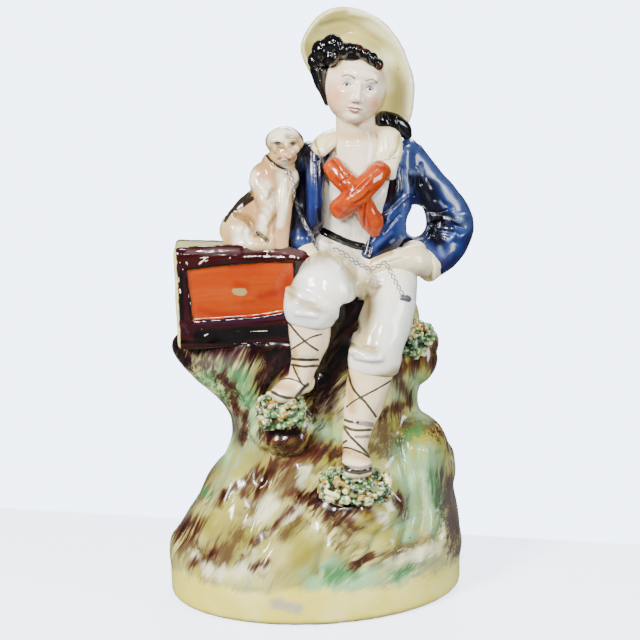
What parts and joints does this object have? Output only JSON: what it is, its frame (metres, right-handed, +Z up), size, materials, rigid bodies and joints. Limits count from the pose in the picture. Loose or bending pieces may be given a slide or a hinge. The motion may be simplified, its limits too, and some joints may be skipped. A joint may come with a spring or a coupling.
{
  "type": "glazed earthenware figure group",
  "caption": "Pottery ornament of a boy in a broad hat, seated on a rock with a chained monkey on a show box, on a flat oval foot.",
  "frame": {"origin": "middle of the flat underside", "axes": "+Z up through the boy, +X towards the boy's bent arm, -Y the front"},
  "size_m": [0.1773, 0.1145, 0.3293],
  "materials": {
    "glaze_cream": "clear lead glaze over cream earthenware",
    "glaze_rock": "glaze over brushed green, ochre and maroon underglaze colours",
    "glaze_blue": "deep cobalt underglaze, glossy",
    "glaze_orange": "brushed orange enamel, glossy",
    "glaze_maroon": "maroon-black enamel with small chips, glossy",
    "glaze_flesh": "pale flesh tint under clear glaze",
    "glaze_black": "black enamel, glossy",
    "glaze_yellow": "cream-yellow glaze with ochre shading",
    "glaze_fawn": "fawn tint under clear glaze",
    "clay_tuft": "shredded clay daubed green, ochre and white, glazed"
  },
  "bodies": {
    "root": {"figure_group": "glaze_cream"}
  },
  "joints": []
}
